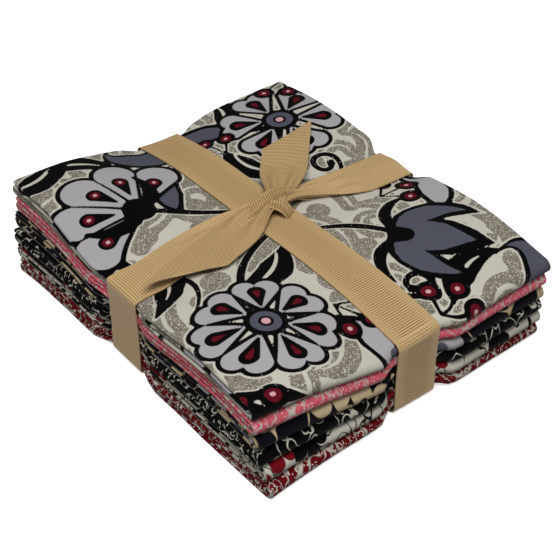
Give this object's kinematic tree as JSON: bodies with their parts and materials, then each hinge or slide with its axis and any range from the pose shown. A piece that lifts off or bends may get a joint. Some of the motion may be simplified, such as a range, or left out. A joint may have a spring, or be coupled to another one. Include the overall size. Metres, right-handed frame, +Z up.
{
  "type": "fat quarter bundle",
  "caption": "Stack of folded printed cotton quarters, tied crosswise with a flat ribbon that is knotted on top with two free ends.",
  "frame": {"origin": "centre of the bundle's outline on the surface it lies on, at the underside", "axes": "+X to the right along the front face, where the large folds show, +Y to the back along the longer side, +Z up through the stack"},
  "size_m": [0.1594, 0.1928, 0.0554],
  "materials": {
    "red_scroll_cotton": "matt printed cotton with fine glitter",
    "black_leaf_cotton": "matt printed cotton",
    "black_vine_cotton": "matt printed cotton",
    "night_petal_cotton": "matt printed cotton",
    "coral_scroll_cotton": "matt printed cotton with fine glitter",
    "cream_floral_cotton": "matt printed cotton with fine glitter",
    "grosgrain_ribbon": "ribbed satin"
  },
  "bodies": {
    "root": {"fat_quarter_1": "red_scroll_cotton", "fat_quarter_2": "black_leaf_cotton", "fat_quarter_3": "black_vine_cotton", "fat_quarter_4": "night_petal_cotton", "fat_quarter_5": "coral_scroll_cotton", "fat_quarter_6": "cream_floral_cotton", "ribbon": "grosgrain_ribbon"}
  },
  "joints": []
}
